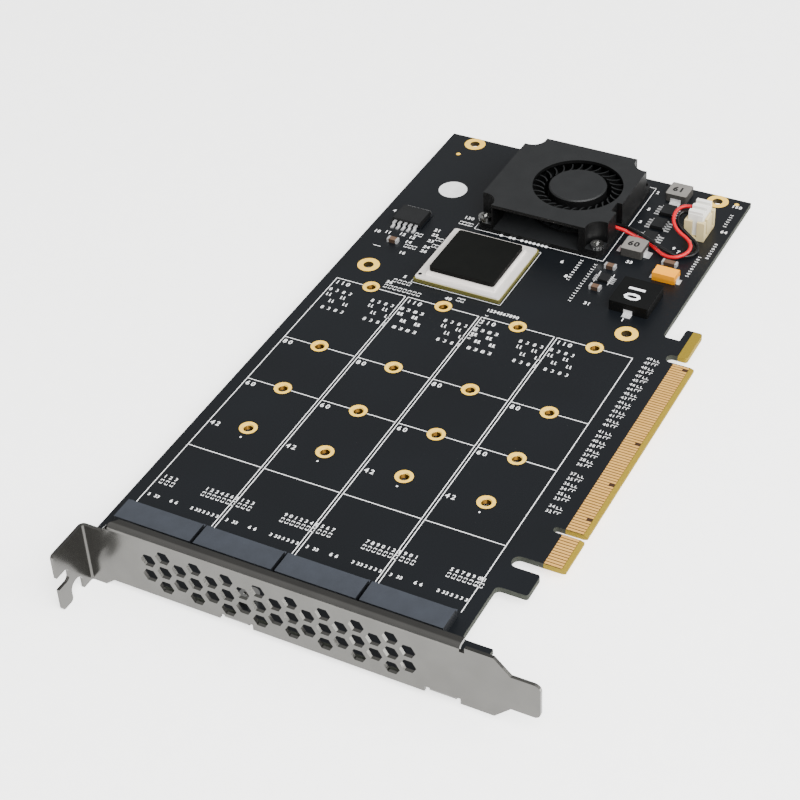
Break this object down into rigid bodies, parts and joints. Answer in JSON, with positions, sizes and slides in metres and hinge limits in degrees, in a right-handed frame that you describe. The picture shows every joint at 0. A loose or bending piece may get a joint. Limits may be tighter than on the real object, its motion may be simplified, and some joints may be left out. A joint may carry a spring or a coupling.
{
  "type": "nvme adapter card",
  "caption": "Expansion card with a vented steel bracket, drive sockets, screw nuts for several drive lengths, a lidded switch chip, a small blower and a routed contact edge.",
  "frame": {"origin": "centre of the key notch on the insertion edge of the contacts, in the plane of the component face", "axes": "+X along the card away from the bracket, +Y up the card away from the slot, +Z out of the component face"},
  "size_m": [0.2233, 0.1251, 0.0206],
  "materials": {
    "board_mask": "satin solder mask over glass laminate",
    "gold_plating": "thin gold plating",
    "socket_plastic": "moulded, fine matt",
    "tinned_metal": "tin plated, semi-bright",
    "bracket_steel": "nickel plated sheet",
    "screw_steel": "plated, bright",
    "chip_substrate": "laminate",
    "chip_lid": "nickel plated, satin",
    "thermal_pad": "soft silicone",
    "blower_plastic": "moulded, fine texture",
    "ferrite": "matt",
    "bearing_bronze": "sintered",
    "stator_steel": "laminated, matt",
    "copper_wire": "enamelled",
    "motor_laminate": "satin",
    "red_insulation": "satin PVC",
    "black_insulation": "satin PVC",
    "header_nylon": "moulded, satin",
    "plug_nylon": "moulded, satin",
    "coil_black": "moulded powder, matt",
    "coil_grey": "moulded powder, matt",
    "package_epoxy": "moulded, matt",
    "tantalum_epoxy": "moulded, satin",
    "ceramic_brown": "fired, matt",
    "label_paper": "coated, matt"
  },
  "bodies": {
    "card": {"blower_base": "blower_plastic", "blower_cover": "blower_plastic", "blower_screws": "screw_steel", "bracket_screws": "screw_steel", "ceramic_capacitor_ends": "tinned_metal", "ceramic_capacitors": "ceramic_brown", "circuit_board": "board_mask", "drive_screw_nuts": "gold_plating", "drive_socket_1": "socket_plastic", "drive_socket_2": "socket_plastic", "drive_socket_3": "socket_plastic", "drive_socket_4": "socket_plastic", "drive_socket_tails_1": "tinned_metal", "drive_socket_tails_2": "tinned_metal", "drive_socket_tails_3": "tinned_metal", "drive_socket_tails_4": "tinned_metal", "edge_contacts_bottom": "gold_plating", "edge_contacts_top": "gold_plating", "fan_header": "header_nylon", "fan_plug": "plug_nylon", "fan_wire_black": "black_insulation", "fan_wire_red": "red_insulation", "header_pins": "tinned_metal", "motor_board": "motor_laminate", "mounting_bracket": "bracket_steel", "mounting_eyes": "gold_plating", "phase_coil_1": "coil_grey", "phase_coil_1_terminals": "tinned_metal", "phase_coil_2": "coil_grey", "phase_coil_2_terminals": "tinned_metal", "power_driver_1": "package_epoxy", "power_driver_1_leads": "tinned_metal", "power_driver_2": "package_epoxy", "power_driver_2_leads": "tinned_metal", "power_driver_3": "package_epoxy", "power_driver_3_leads": "tinned_metal", "regulator": "package_epoxy", "regulator_leads": "tinned_metal", "round_label": "label_paper", "sensor_chip": "package_epoxy", "sensor_chip_leads": "tinned_metal", "shaft_bearing": "bearing_bronze", "stator_coils": "copper_wire", "stator_core": "stator_steel", "supply_coil": "coil_black", "supply_coil_terminals": "tinned_metal", "switch_lid": "chip_lid", "switch_substrate": "chip_substrate", "switch_thermal_pad": "thermal_pad", "tantalum_capacitor": "tantalum_epoxy", "tantalum_terminals": "tinned_metal"},
    "rotor": {"impeller": "blower_plastic", "impeller_magnet": "ferrite", "impeller_shaft": "screw_steel"}
  },
  "joints": [
    {"name": "impeller_spin", "type": "hinge", "parent": "card", "child": "rotor", "pos_m": [0.1278, 0.0578, 0.005], "axis": [0, 0, 1], "continuous": true}
  ]
}
